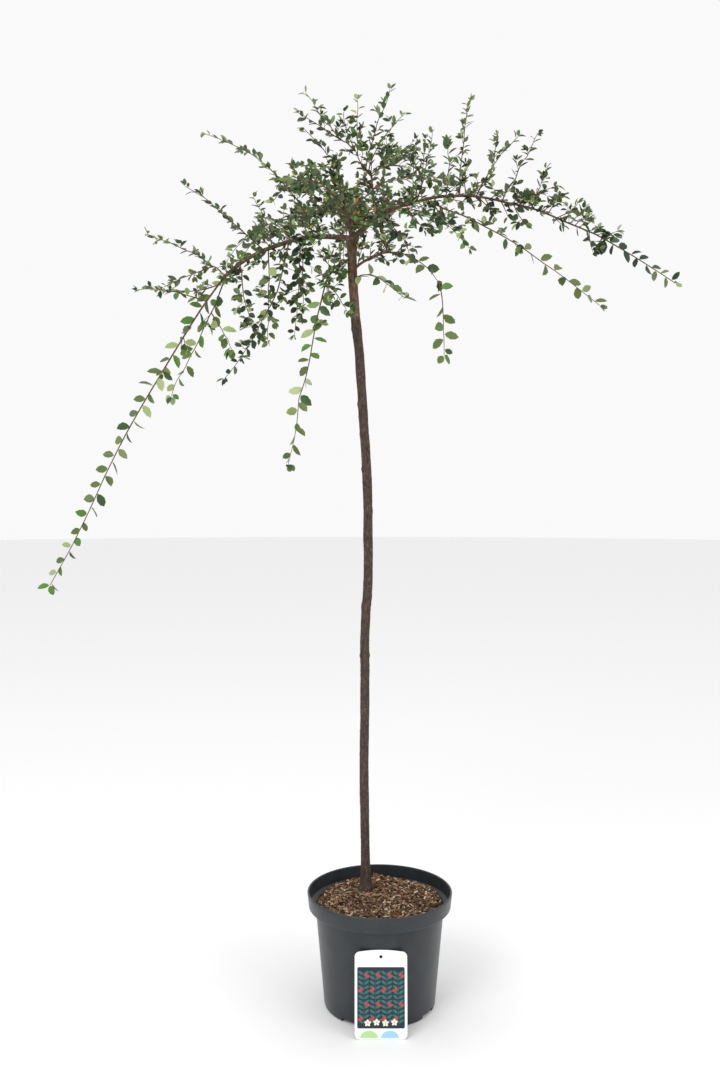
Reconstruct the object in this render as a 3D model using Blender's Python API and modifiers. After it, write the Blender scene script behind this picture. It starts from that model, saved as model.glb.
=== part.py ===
"""Weeping cotoneaster grafted on a tall stem, standing in a nursery pot.

Metres, +Z up. The origin is the centre of the pot's flat underside. The plant
is seen from the front along +Y, so +X is its right-hand side.

The woody frame is a table of arching shoots. Each shoot leaves its parent at
a stated place and bearing, rises at one angle and ends at another, and all its
points follow from those sizes. The limbs near the fork are solid tapering
tubes, and the leafy length of every shoot is an uneven closed mass round it.
"""
import math
import random

import bpy
import bmesh
import numpy as np
from mathutils import Matrix, Vector

# ---------------------------------------------------------------- sizes
POT_HEIGHT = 0.164          # underside to rim
POT_RIM_R = 0.1037          # widest radius, at the rim
POT_BAND_R = 0.1014         # lower edge of the rim band
POT_BAND_Z = 0.142
POT_WALL_TOP_R = 0.0920     # wall just under the band
POT_BASE_R = 0.0795
POT_WALL = 0.0022
POT_STEPS = 36
NOTCH_COUNT = 4             # drainage notches in the foot
NOTCH_TURN = 58.5           # bearing of one notch from the front, degrees
NOTCH_WIDTH = 0.030
NOTCH_HEIGHT = 0.0055

SOIL_FLAT_Z = 0.1560        # level top of the bark mulch round the stem
SOIL_EDGE_Z = 0.1500        # mulch against the pot
SOIL_FLAT_R = 0.058
SOIL_FOOT_Z = 0.0080

LABEL_WIDTH = 0.071
LABEL_HEIGHT = 0.117
LABEL_THICK = 0.0010
LABEL_CORNER = 0.007
LABEL_ARCH = 0.0022         # rise of the label's top edge at its middle
LABEL_FOOT_Y = -0.1068
LABEL_LEAN = 7.8            # degrees back from upright
LABEL_X = 0.0000
LABEL_HOLE_R = 0.0022

FORK_Z = 1.086              # middle of the graft's head
HEAD_R = 0.0092
GAP = 0.0004                # clearance between pieces that touch

# The stem's centre line: height, x, y. It leans a little to the left above
# the graft and runs almost straight below it.
STEM = [
    (0.1564, -0.0197, 0.0260), (0.245, -0.0211, 0.0220),
    (0.335, -0.0224, 0.0190), (0.435, -0.0212, 0.0150),
    (0.545, -0.0208, 0.0110), (0.610, -0.0168, 0.0080),
    (0.660, -0.0168, 0.0060), (0.750, -0.0182, 0.0040),
    (0.820, -0.0222, 0.0030), (0.865, -0.0252, 0.0020),
    (0.945, -0.0308, 0.0010), (0.980, -0.0350, 0.0000),
    (1.006, -0.0364, 0.0000), (1.048, -0.0392, 0.0000),
    (FORK_Z, -0.0392, 0.0000),
]
STEM_R = 0.0065
FLARE_R = 0.0112            # root flare at the soil
FLARE_RISE = 0.030

# ------------------------------------------------------------ the shoots
# name: (parent, place along it 0..1, bearing in degrees from +X towards +Y,
#        rise at its foot, rise at its tip, how late it bends, length)
SHOOTS = {
    # left arm and what hangs from it
    "limb_left": ("stem", 1.00, 186, 15, -39, 0.70, 0.190),
    "weep_left": ("limb_left", 1.00, 203, -48, -65, 0.35, 0.480),
    "weep_mid": ("limb_left", 0.98, 162, -72, -58, 0.35, 0.185),
    "side_g": ("limb_left", 1.00, 155, 58, 18, 0.35, 0.145),
    "side_h": ("weep_left", 0.09, 212, 17, -8, 0.90, 0.100),
    "side_e": ("limb_left", 0.67, 212, 35, 19, 3.00, 0.135),
    "side_f": ("limb_left", 0.60, 130, 77, 47, 0.70, 0.090),
    "side_d": ("limb_left", 0.29, 153, 79, 21, 0.60, 0.255),
    "hang_v": ("limb_left", 0.63, -110, -86, -93, 1.00, 0.125),
    "hang_w": ("limb_left", 0.47, 215, -88, -50, 0.50, 0.220),
    "hang_x": ("limb_left", 0.37, -90, -84, -93, 1.00, 0.110),
    "limb_low": ("stem", 0.97, 225, -14, -64, 1.15, 0.065),
    "hang_m": ("limb_low", 1.00, 245, -60, -69, 0.35, 0.270),
    # the upright middle
    "limb_up": ("stem", 1.00, 140, 71, 100, 3.00, 0.115),
    "limb_up_left": ("limb_up", 0.34, 160, 11, 39, 0.35, 0.095),
    "side_c4": ("limb_up", 0.71, 212, -4, -1, 3.00, 0.090),
    "top_c": ("limb_up", 0.97, 222, 28, 34, 3.00, 0.070),
    "leader": ("limb_right", 0.45, 110, 47, 81, 0.50, 0.070),
    "leader_top": ("leader", 1.00, 155, 45, 82, 0.80, 0.105),
    "top_a": ("leader_top", 0.44, 150, 19, 59, 0.35, 0.125),
    "top_b": ("top_a", 0.23, 218, 11, 19, 0.35, 0.075),
    "top_o": ("leader_top", 0.32, 95, 84, 90, 1.00, 0.080),
    "top_p": ("leader_top", 0.12, 42, 84, 63, 0.35, 0.130),
    "top_q": ("leader_top", 0.05, -45, 100, 25, 0.35, 0.095),
    "side_ra": ("leader", 0.95, 30, 45, -1, 3.00, 0.085),
    # right arm and what grows on it
    "limb_right": ("stem", 1.00, -7, 47, 4, 1.20, 0.105),
    "arm_right": ("limb_right", 1.00, 5, 37, -34, 0.35, 0.390),
    "low_right": ("arm_right", 0.03, -26, -24, -43, 0.95, 0.295),
    "limb_low_right": ("stem", 0.95, -42, 48, -12, 0.60, 0.090),
    "hang_s": ("limb_low_right", 1.00, -45, -16, -50, 0.80, 0.085),
    "hang_s2": ("hang_s", 1.00, -70, -40, -95, 0.40, 0.100),
    "up_2": ("limb_right", 1.00, 70, 50, 78, 3.00, 0.145),
    "up_4": ("arm_right", 0.16, 70, 100, 56, 0.45, 0.160),
    "up_5": ("arm_right", 0.22, -35, 75, 39, 0.35, 0.095),
    "up_6": ("arm_right", 0.31, 35, 57, 56, 0.50, 0.125),
    "up_8": ("arm_right", 0.36, -45, 20, 6, 0.35, 0.070),
    # towards the back
    "limb_back": ("stem", 1.00, 85, 36, 30, 1.00, 0.095),
    "back_a": ("limb_back", 1.00, 96, 32, -34, 0.80, 0.290),
    "back_b": ("limb_back", 0.70, 138, 34, -32, 0.80, 0.300),
    "back_c": ("limb_back", 0.80, 48, 36, -26, 0.80, 0.290),
    # towards the front
    "limb_front": ("stem", 1.00, -98, 26, 18, 1.00, 0.070),
    "front_a": ("limb_front", 0.35, -52, 20, -66, 0.90, 0.155),
    "front_b": ("limb_front", 1.00, -118, 30, -46, 0.90, 0.190),
    "front_c": ("limb_front", 0.80, -42, 38, -26, 0.90, 0.180),
    "front_d": ("limb_left", 0.22, -128, 14, -44, 0.90, 0.170),
}

# Limbs that show as bare wood: name, how much of the shoot is bough, radius
# at the foot and at the end.
BOUGHS = [
    ("bough_left", "limb_left", 0.36, 0.0038, 0.0029),
    ("bough_right", "limb_right", 0.42, 0.0040, 0.0030),
    ("bough_up", "limb_up", 0.30, 0.0030, 0.0024),
    ("bough_back", "limb_back", 0.50, 0.0029, 0.0023),
    ("bough_front", "limb_front", 0.42, 0.0027, 0.0022),
]

# Leafy masses: name, shoot, pieces along it, half width, flatness, where the
# leaves begin and end as parts of the shoot.
MASSES = [
    ("arm_left", "limb_left", 2, 0.034, 0.80, 0.37, 1.00),
    ("weep_left", "weep_left", 3, 0.017, 0.70, 0.03, 1.00),
    ("weep_mid", "weep_mid", 1, 0.014, 0.70, 0.10, 1.00),
    ("side_g", "side_g", 1, 0.014, 0.70, 0.15, 1.00),
    ("side_h", "side_h", 1, 0.014, 0.70, 0.05, 1.00),
    ("side_e", "side_e", 1, 0.014, 0.70, 0.10, 1.00),
    ("side_f", "side_f", 1, 0.012, 0.70, 0.20, 1.00),
    ("side_d", "side_d", 1, 0.017, 0.75, 0.10, 1.00),
    ("hang_v", "hang_v", 1, 0.013, 0.75, 0.10, 1.00),
    ("hang_w", "hang_w", 1, 0.018, 0.75, 0.10, 1.00),
    ("hang_x", "hang_x", 1, 0.018, 0.75, 0.10, 1.00),
    ("low_left", "limb_low", 1, 0.022, 0.80, 0.24, 1.00),
    ("hang_m", "hang_m", 2, 0.016, 0.70, 0.01, 1.00),
    ("middle", "limb_up", 1, 0.034, 0.95, 0.31, 1.00),
    ("up_left", "limb_up_left", 1, 0.026, 0.85, 0.15, 1.00),
    ("side_c", "side_c4", 1, 0.020, 0.85, 0.15, 1.00),
    ("top_c", "top_c", 1, 0.013, 0.75, 0.15, 1.00),
    ("leader", "leader", 1, 0.026, 0.90, 0.12, 1.00),
    ("leader_top", "leader_top", 1, 0.020, 0.85, 0.02, 1.00),
    ("top_a", "top_a", 1, 0.013, 0.75, 0.15, 1.00),
    ("top_b", "top_b", 1, 0.012, 0.75, 0.15, 1.00),
    ("top_o", "top_o", 1, 0.012, 0.80, 0.15, 1.00),
    ("top_p", "top_p", 1, 0.012, 0.80, 0.15, 1.00),
    ("top_q", "top_q", 1, 0.013, 0.80, 0.15, 1.00),
    ("side_r", "side_ra", 1, 0.016, 0.80, 0.15, 1.00),
    ("inner_right", "limb_right", 1, 0.027, 0.85, 0.43, 1.00),
    ("arm_right", "arm_right", 4, 0.026, 0.75, 0.03, 1.00),
    ("low_right", "low_right", 2, 0.018, 0.70, 0.10, 1.00),
    ("low_inner_right", "limb_low_right", 1, 0.020, 0.80, 0.20, 1.00),
    ("hang_s", "hang_s", 1, 0.016, 0.75, 0.01, 1.00),
    ("hang_s_low", "hang_s2", 1, 0.014, 0.75, 0.06, 1.00),
    ("up_2", "up_2", 1, 0.016, 0.80, 0.15, 1.00),
    ("up_4", "up_4", 1, 0.014, 0.80, 0.15, 1.00),
    ("up_5", "up_5", 1, 0.014, 0.80, 0.15, 1.00),
    ("up_6", "up_6", 1, 0.014, 0.80, 0.15, 1.00),
    ("back_a", "back_a", 1, 0.028, 0.70, 0.01, 1.00),
    ("back_b", "back_b", 1, 0.026, 0.70, 0.10, 1.00),
    ("back_c", "back_c", 1, 0.026, 0.70, 0.10, 1.00),
    ("front_a", "front_a", 1, 0.022, 0.75, 0.12, 1.00),
    ("front_b", "front_b", 1, 0.024, 0.75, 0.01, 1.00),
    ("front_c", "front_c", 1, 0.022, 0.75, 0.12, 1.00),
    ("front_d", "front_d", 1, 0.022, 0.75, 0.12, 1.00),
]
MASS_AROUND = 8
MASS_RING = 0.016           # spacing of a mass's rings along its shoot
ARC_STEPS = 24

COLLECTION = "potted_weeping_cotoneaster"


# ------------------------------------------------------------ clean start
def clean():
    for obj in list(bpy.data.objects):
        bpy.data.objects.remove(obj, do_unlink=True)
    for group in list(bpy.data.collections):
        bpy.data.collections.remove(group)


def new_collection(name):
    group = bpy.data.collections.new(name)
    bpy.context.scene.collection.children.link(group)
    return group


def material(name, colour, roughness, metallic=0.0):
    mat = bpy.data.materials.new(name)
    mat.use_nodes = True
    bsdf = mat.node_tree.nodes["Principled BSDF"]
    bsdf.inputs["Base Color"].default_value = (*colour, 1.0)
    bsdf.inputs["Roughness"].default_value = roughness
    bsdf.inputs["Metallic"].default_value = metallic
    mat.diffuse_color = (*colour, 1.0)
    return mat


def add_mesh(name, mesh, group, mat):
    obj = bpy.data.objects.new(name, mesh)
    group.objects.link(obj)
    mesh.materials.clear()
    mesh.materials.append(mat)
    return obj


# --------------------------------------------------------------- curves
def smooth_line(stations, spacing):
    """A smooth line through (z, x, y) stations, with points evenly up it."""
    z = np.array([s[0] for s in stations])
    out = []
    heights = np.linspace(z[0], z[-1], int(round((z[-1] - z[0]) / spacing)) + 1)
    for axis in (1, 2):
        v = np.array([s[axis] for s in stations])
        slope = np.gradient(v, z)
        i = np.clip(np.searchsorted(z, heights, side="right") - 1, 0, len(z) - 2)
        h = z[i + 1] - z[i]
        t = (heights - z[i]) / h
        out.append((2 * t**3 - 3 * t**2 + 1) * v[i]
                   + (t**3 - 2 * t**2 + t) * h * slope[i]
                   + (3 * t**2 - 2 * t**3) * v[i + 1]
                   + (t**3 - t**2) * h * slope[i + 1])
    return np.stack([out[0], out[1], heights], axis=1)


def arc(foot, bearing, rise, fall, bend, length):
    """The points of one arching shoot, which stays in an upright plane."""
    s = (np.arange(ARC_STEPS) + 0.5) / ARC_STEPS
    angle = np.radians(rise + (fall - rise) * s**bend)
    turn = math.radians(bearing)
    step = np.stack([np.cos(angle) * math.cos(turn),
                     np.cos(angle) * math.sin(turn),
                     np.sin(angle)], axis=1) * (length / ARC_STEPS)
    return np.vstack([foot, foot + np.cumsum(step, axis=0)])


def at(points, s):
    """The point at part s of a line, run on past its tip when s is over 1."""
    x = s * (len(points) - 1)
    i = int(min(max(math.floor(x), 0), len(points) - 2))
    return points[i] + (points[i + 1] - points[i]) * (x - i)


def direction(points, s, window):
    """The run of a line at s, averaged over a window so that it turns slowly."""
    d = at(points, s + window) - at(points, s - window)
    return d / np.linalg.norm(d)


def shoot_lines():
    lines = {"stem": smooth_line(STEM, 0.026)}
    todo = dict(SHOOTS)
    while todo:
        for name, (parent, place, *form) in list(todo.items()):
            if parent in lines:
                lines[name] = arc(at(lines[parent], place), *form)
                del todo[name]
    return lines


def distance(points, line):
    """Distance from each point to a line of points, by its segments."""
    a, b = line[:-1], line[1:]
    ab = b - a
    t = np.einsum("pij,ij->pi", points[:, None, :] - a[None], ab)
    t = np.clip(t / np.einsum("ij,ij->i", ab, ab), 0.0, 1.0)
    near = a[None] + t[..., None] * ab[None]
    return np.linalg.norm(points[:, None, :] - near, axis=2).min(axis=1)


# ------------------------------------------------------------ solid tubes
def tube(name, points, radii, group, mat, sides_setting=2):
    """A closed tube: a poly curve with a bevel and capped ends, as a mesh."""
    data = bpy.data.curves.new(name, "CURVE")
    data.dimensions = "3D"
    data.bevel_depth = 0.001
    data.bevel_resolution = sides_setting
    data.use_fill_caps = True
    spline = data.splines.new("POLY")
    spline.points.add(len(points) - 1)
    for point, place, radius in zip(spline.points, points, radii):
        point.co = (*place, 1.0)
        point.radius = radius * 1000.0
    curve = bpy.data.objects.new(name + "_line", data)
    group.objects.link(curve)
    bpy.context.view_layer.update()
    graph = bpy.context.evaluated_depsgraph_get()
    mesh = bpy.data.meshes.new_from_object(curve.evaluated_get(graph))
    bm = bmesh.new()
    bm.from_mesh(mesh)
    bmesh.ops.remove_doubles(bm, verts=bm.verts, dist=0.00002)
    bmesh.ops.recalc_face_normals(bm, faces=bm.faces)
    bm.to_mesh(mesh)
    bm.free()
    mesh.name = name
    obj = add_mesh(name, mesh, group, mat)
    obj.matrix_world = curve.matrix_world
    bpy.data.objects.remove(curve, do_unlink=True)
    mesh.shade_smooth()
    mesh.set_sharp_from_angle(angle=math.radians(50))
    return obj


def stem_radius(z):
    """Root flare, slow taper, the swelling at the graft and the round head."""
    low = z - STEM[0][0]
    radius = STEM_R + (FLARE_R - STEM_R) * math.exp(-low / (FLARE_RISE * 0.45))
    radius += 0.0005 * math.exp(-((z - 0.962) / 0.012) ** 2)
    radius += (HEAD_R - STEM_R) * math.exp(-((z - FORK_Z) / 0.011) ** 2)
    return radius


def make_stem(lines, group, mat):
    spine = lines["stem"]
    foot = spine[0]
    points = [foot, foot + np.array([0.0, 0.0, 0.004])]
    points += [p for p in spine[1:] if p[2] < FORK_Z - 0.013]
    for rise in (-0.010, -0.004, 0.002, 0.007):
        points.append(np.array([STEM[-1][1], STEM[-1][2], FORK_Z + rise]))
    radii = [stem_radius(p[2]) for p in points]
    radii[-1] = HEAD_R * 0.62
    return tube("stem", points, radii, group, mat, 3)


def make_bough(name, shoot, part, r_foot, r_end, lines, cutter, group, mat):
    count = max(5, int(round(part * ARC_STEPS)) + 1)
    s = np.linspace(0.0, part, count)
    points = [at(lines[shoot], v) for v in s]
    radii = list(np.linspace(r_foot, r_end, count))
    obj = tube(name, points, radii, group, mat, 2)
    cut = obj.modifiers.new("clear_of_stem", "BOOLEAN")
    cut.operation = "DIFFERENCE"
    cut.object = cutter
    return obj


# --------------------------------------------------------------- foliage
def mass_pieces(lines):
    """Each leafy mass as (name, shoot, from, to, half width, flatness)."""
    pieces = []
    for name, shoot, count, half, flat, first, last in MASSES:
        line = lines[shoot]
        length = SHOOTS[shoot][6]
        parent = SHOOTS[shoot][0]
        # a shoot's leaves begin clear of its parent's own mass
        host = [m for m in MASSES if m[1] == parent]
        if host and first > 0.04:
            reach = host[0][3] * 0.92
            while first < 0.6:
                d = distance(at(line, first)[None], lines[parent])[0]
                if d > reach:
                    break
                first += 0.02
        tip = last + 0.009 / length
        gap = 0.0012 / length
        span = (tip - first - gap * (count - 1)) / count
        for k in range(count):
            a = first + k * (span + gap)
            wide = half * (1.0 - 0.22 * k / max(count - 1, 1)) if count > 1 else half
            tag = name if count == 1 else "%s_%d" % (name, k + 1)
            pieces.append(("leaves_" + tag, shoot, a, a + span, wide, flat))
    return pieces


def make_masses(lines, boughs, group, mats):
    pieces = mass_pieces(lines)
    axes = []
    for name, shoot, a, b, half, flat in pieces:
        count = max(6, int((b - a) * SHOOTS[shoot][6] / 0.006))
        axes.append(np.array([at(lines[shoot], v) for v in np.linspace(a, b, count)]))
    wood = [(np.array([at(lines[shoot], v) for v in np.linspace(0, part, 14)]),
             r_foot + 0.0018) for _, shoot, part, r_foot, _ in boughs]
    wood.append((lines["stem"], STEM_R + 0.0022))
    wood.append((np.array([[STEM[-1][1], 0, FORK_Z - 0.004],
                           [STEM[-1][1], 0, FORK_Z + 0.004]]), HEAD_R + 0.0025))
    for index, (name, shoot, a, b, half, flat) in enumerate(pieces):
        rng = random.Random(name)
        line = lines[shoot]
        length = (b - a) * SHOOTS[shoot][6]
        rings = max(6, int(round(length / MASS_RING)) + 2)
        bearing = math.radians(SHOOTS[shoot][2])
        side = np.array([-math.sin(bearing), math.cos(bearing), 0.0])
        phase = [rng.uniform(0, 2 * math.pi) for _ in range(4)]
        waves = max(1.0, length / 0.045)
        bm = bmesh.new()
        bmesh.ops.create_uvsphere(bm, u_segments=MASS_AROUND, v_segments=rings,
                                  radius=1.0)
        for vert in bm.verts:
            x, y, z = vert.co
            polar = math.acos(max(-1.0, min(1.0, -z)))
            t = polar / math.pi
            s = a + (b - a) * t
            centre = at(line, s)
            along = direction(line, s, half / SHOOTS[shoot][6])
            up = np.cross(along, side)
            turn = math.atan2(y, x)
            blunt = math.sin(polar) ** 0.55 if 0.001 < t < 0.999 else 0.0
            lumps = (1.0 + 0.20 * math.sin(2 * math.pi * waves * t + turn + phase[0])
                     + 0.13 * math.sin(2 * math.pi * waves * 1.7 * t - 2 * turn + phase[1])
                     + 0.08 * math.sin(3 * turn + phase[2])
                     + rng.uniform(-0.07, 0.07))
            out = (side * math.cos(turn) + up * math.sin(turn) * flat)
            reach = half * blunt * lumps
            if reach > 0:
                tries = reach * np.linspace(0.06, 1.0, 40)
                where = centre[None] + tries[:, None] * out[None]
                own = distance(where, axes[index]) / half
                ok = np.ones(len(tries), bool)
                for other, axis in enumerate(axes):
                    if other == index:
                        continue
                    if np.linalg.norm(axis - centre[None], axis=1).min() > 0.10:
                        continue
                    wide = pieces[other][4]
                    theirs = distance(where, axis) / wide
                    ok &= (theirs - own) * min(half, wide) > 0.0030
                for axis, radius in wood:
                    if np.linalg.norm(axis - centre[None], axis=1).min() > 0.08:
                        continue
                    ok &= distance(where, axis) > radius
                bad = np.nonzero(~ok)[0]
                keep = tries[-1] if len(bad) == 0 else tries[max(bad[0] - 1, 0)]
                vert.co = Vector(centre + out * keep)
            else:
                vert.co = Vector(centre)
        mesh = bpy.data.meshes.new(name)
        bm.to_mesh(mesh)
        bm.free()
        mesh.shade_smooth()
        add_mesh(name, mesh, group, mats[index % len(mats)])


# ------------------------------------------------------------------- pot
def turned(name, profile, group, mat):
    """A solid turned from a closed half profile of (r, z) corners."""
    mesh = bpy.data.meshes.new(name)
    bm = bmesh.new()
    verts = [bm.verts.new((r, 0.0, z)) for r, z in profile]
    for one, two in zip(verts[:-1], verts[1:]):
        bm.edges.new((one, two))
    bm.to_mesh(mesh)
    bm.free()
    obj = add_mesh(name, mesh, group, mat)
    turn = obj.modifiers.new("turn", "SCREW")
    turn.axis = "Z"
    turn.angle = 2 * math.pi
    turn.steps = POT_STEPS
    turn.render_steps = POT_STEPS
    turn.use_merge_vertices = True
    turn.merge_threshold = 0.00005
    turn.use_smooth_shade = False
    return obj


def wall_radius(z):
    return POT_BASE_R + (POT_WALL_TOP_R - POT_BASE_R) * z / POT_BAND_Z


def make_pot(group, cutters, mat):
    inner_low = POT_WALL_TOP_R - POT_WALL
    profile = [
        (0.0, POT_WALL),
        (POT_BASE_R - POT_WALL, POT_WALL),
        (inner_low, POT_BAND_Z + POT_WALL),
        (POT_BAND_R - POT_WALL, POT_BAND_Z + POT_WALL + 0.0022),
        (POT_RIM_R - POT_WALL, POT_HEIGHT - 0.0008),
        (POT_RIM_R - 0.0013, POT_HEIGHT),
        (POT_RIM_R - 0.0004, POT_HEIGHT - 0.0003),
        (POT_RIM_R, POT_HEIGHT - 0.0014),
        (POT_BAND_R, POT_BAND_Z),
        (POT_WALL_TOP_R, POT_BAND_Z),
        (wall_radius(0.004), 0.004),
        (POT_BASE_R - 0.0008, 0.0),
        (0.0, 0.0),
    ]
    pot = turned("pot", profile, group, mat)
    for k in range(NOTCH_COUNT):
        bearing = math.radians(-90 + NOTCH_TURN + 360.0 * k / NOTCH_COUNT)
        bpy.ops.mesh.primitive_cube_add(size=1.0)
        box = bpy.context.object
        box.name = "notch_cutter_%d" % (k + 1)
        box.dimensions = (0.026, NOTCH_WIDTH, 2 * NOTCH_HEIGHT)
        box.rotation_euler = (0.0, 0.0, bearing)
        reach = POT_BASE_R + 0.002
        box.location = (reach * math.cos(bearing), reach * math.sin(bearing), 0.0)
        for old in list(box.users_collection):
            old.objects.unlink(box)
        cutters.objects.link(box)
        box.hide_render = True
        box.display_type = "WIRE"
        cut = pot.modifiers.new("notch_%d" % (k + 1), "BOOLEAN")
        cut.operation = "DIFFERENCE"
        cut.object = box
    return pot


def make_soil(group, mat):
    side = POT_WALL + GAP
    profile = [
        (0.0, SOIL_FLAT_Z),
        (SOIL_FLAT_R, SOIL_FLAT_Z),
        (wall_radius(POT_BAND_Z) - side - 0.0012, SOIL_EDGE_Z),
        (wall_radius(POT_BAND_Z) - side - 0.0012, POT_BAND_Z + 0.001),
        (wall_radius(SOIL_FOOT_Z) - side - 0.0012, SOIL_FOOT_Z),
        (0.055, POT_WALL + GAP),
        (0.0, POT_WALL + GAP),
    ]
    return turned("soil", profile, group, mat)


def make_label(group, cutters, mat):
    """A card with round corners and a low arched top, leaning on the pot."""
    half, top, corner = LABEL_WIDTH / 2, LABEL_HEIGHT - LABEL_ARCH, LABEL_CORNER
    outline = []

    def round_corner(cx, cz, first):
        for k in range(5):
            a = math.radians(first + 90 * k / 4)
            outline.append((cx + corner * math.cos(a), cz + corner * math.sin(a)))

    round_corner(half - corner, corner, -90)
    round_corner(half - corner, top - corner, 0)
    for k in range(1, 8):
        u = 1 - 2 * k / 8
        outline.append((u * (half - corner), top + LABEL_ARCH * (1 - u * u)))
    round_corner(-half + corner, top - corner, 90)
    round_corner(-half + corner, corner, 180)
    data = bpy.data.curves.new("plant_label", "CURVE")
    data.dimensions = "2D"
    data.fill_mode = "BOTH"
    data.extrude = LABEL_THICK / 2
    spline = data.splines.new("POLY")
    spline.points.add(len(outline) - 1)
    for point, (x, z) in zip(spline.points, outline):
        point.co = (x, z, 0.0, 1.0)
    spline.use_cyclic_u = True
    sides = 10
    ring = data.splines.new("POLY")
    ring.points.add(sides - 1)
    for k, point in enumerate(ring.points):
        a = -2 * math.pi * k / sides
        point.co = (LABEL_HOLE_R * math.cos(a),
                    LABEL_HEIGHT - 0.009 + LABEL_HOLE_R * math.sin(a), 0.0, 1.0)
    ring.use_cyclic_u = True
    curve = bpy.data.objects.new("label_line", data)
    group.objects.link(curve)
    curve.matrix_world = (Matrix.Translation((LABEL_X, LABEL_FOOT_Y, 0.0002))
                          @ Matrix.Rotation(math.radians(90 - LABEL_LEAN), 4, "X"))
    bpy.context.view_layer.update()
    graph = bpy.context.evaluated_depsgraph_get()
    mesh = bpy.data.meshes.new_from_object(curve.evaluated_get(graph))
    place = curve.matrix_world.copy()
    bm = bmesh.new()
    bm.from_mesh(mesh)
    bmesh.ops.remove_doubles(bm, verts=bm.verts, dist=0.00002)
    bmesh.ops.recalc_face_normals(bm, faces=bm.faces)
    bm.to_mesh(mesh)
    bm.free()
    obj = add_mesh("plant_label", mesh, group, mat)
    obj.matrix_world = place
    bpy.data.objects.remove(curve, do_unlink=True)
    return obj


# ------------------------------------------------------------------ build
def main():
    clean()
    group = new_collection(COLLECTION)
    cutters = new_collection("cutters")
    pot_mat = material("pot_plastic", (0.060, 0.068, 0.075), 0.45)
    soil_mat = material("bark_mulch", (0.16, 0.10, 0.06), 0.95)
    label_mat = material("label_card", (0.85, 0.85, 0.84), 0.35)
    stem_mat = material("stem_bark", (0.11, 0.075, 0.055), 0.85)
    bough_mat = material("bough_bark", (0.13, 0.07, 0.05), 0.80)
    leaf_mats = [material("leaves_dark", (0.050, 0.105, 0.050), 0.50),
                 material("leaves_mid", (0.110, 0.170, 0.060), 0.50),
                 material("leaves_pale", (0.230, 0.300, 0.120), 0.55)]

    make_pot(group, cutters, pot_mat)
    make_soil(group, soil_mat)
    make_label(group, cutters, label_mat)

    lines = shoot_lines()
    make_stem(lines, group, stem_mat)
    bpy.ops.mesh.primitive_ico_sphere_add(subdivisions=3, radius=HEAD_R + 0.0011,
                                          location=(STEM[-1][1], 0.0, FORK_Z))
    ball = bpy.context.object
    ball.name = "head_cutter"
    for old in list(ball.users_collection):
        old.objects.unlink(ball)
    cutters.objects.link(ball)
    ball.hide_render = True
    ball.display_type = "WIRE"
    for name, shoot, part, r_foot, r_end in BOUGHS:
        make_bough(name, shoot, part, r_foot, r_end, lines, ball, group, bough_mat)
    make_masses(lines, BOUGHS, group, leaf_mats)
    bpy.context.view_layer.update()


main()
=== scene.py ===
import math
import random

import bmesh
import bpy
import numpy as np
from mathutils import Matrix, Vector, noise


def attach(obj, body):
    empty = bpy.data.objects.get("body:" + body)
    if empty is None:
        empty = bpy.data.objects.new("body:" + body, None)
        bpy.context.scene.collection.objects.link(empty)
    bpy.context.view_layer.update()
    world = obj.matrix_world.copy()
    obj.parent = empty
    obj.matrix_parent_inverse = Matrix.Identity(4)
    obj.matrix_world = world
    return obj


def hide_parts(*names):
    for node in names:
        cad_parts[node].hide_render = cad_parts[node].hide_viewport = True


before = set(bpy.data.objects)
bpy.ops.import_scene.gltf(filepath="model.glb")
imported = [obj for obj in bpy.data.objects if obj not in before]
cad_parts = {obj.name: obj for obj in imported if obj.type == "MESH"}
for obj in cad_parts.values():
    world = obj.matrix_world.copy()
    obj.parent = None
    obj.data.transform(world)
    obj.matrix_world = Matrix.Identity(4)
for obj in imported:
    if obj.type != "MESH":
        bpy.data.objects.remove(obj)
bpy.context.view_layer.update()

# Weeping cotoneaster grafted on a tall stem, in a nursery pot. Metres, +Z up,
# the origin at the centre of the pot's underside, seen from the front along +Y.

NODES = sorted(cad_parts)
LEAF_NODES = [n for n in NODES if n.startswith("leaves_")]
BOUGH_NODES = [n for n in NODES if n.startswith("bough_")]

# ------------------------------------------------------------------ sizes
POT_HEIGHT, POT_RIM_R, POT_BAND_R, POT_BAND_Z = 0.164, 0.1037, 0.1014, 0.142
POT_WALL_TOP_R, POT_BASE_R, POT_WALL = 0.0920, 0.0795, 0.0022
NOTCH_COUNT, NOTCH_TURN, NOTCH_WIDTH, NOTCH_HEIGHT = 4, 58.5, 0.030, 0.0055
SOIL_FLAT_Z, SOIL_EDGE_Z, SOIL_FLAT_R = 0.1560, 0.1500, 0.058
LABEL_WIDTH, LABEL_HEIGHT, LABEL_THICK = 0.071, 0.117, 0.0010
LABEL_CORNER, LABEL_ARCH, LABEL_FOOT_Y, LABEL_LEAN = 0.007, 0.0022, -0.1068, 7.8
FORK_Z, HEAD_R, STEM_R, FLARE_R = 1.086, 0.0092, 0.0065, 0.0112

STEM = [
    (0.1500, -0.0196, 0.0262), (0.1564, -0.0197, 0.0260), (0.245, -0.0211, 0.0220),
    (0.335, -0.0224, 0.0190), (0.435, -0.0212, 0.0150),
    (0.545, -0.0208, 0.0110), (0.610, -0.0168, 0.0080),
    (0.660, -0.0168, 0.0060), (0.750, -0.0182, 0.0040),
    (0.820, -0.0222, 0.0030), (0.865, -0.0252, 0.0020),
    (0.945, -0.0308, 0.0010), (0.980, -0.0350, 0.0000),
    (1.006, -0.0364, 0.0000), (1.048, -0.0392, 0.0000),
    (FORK_Z, -0.0392, 0.0000),
]

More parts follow.
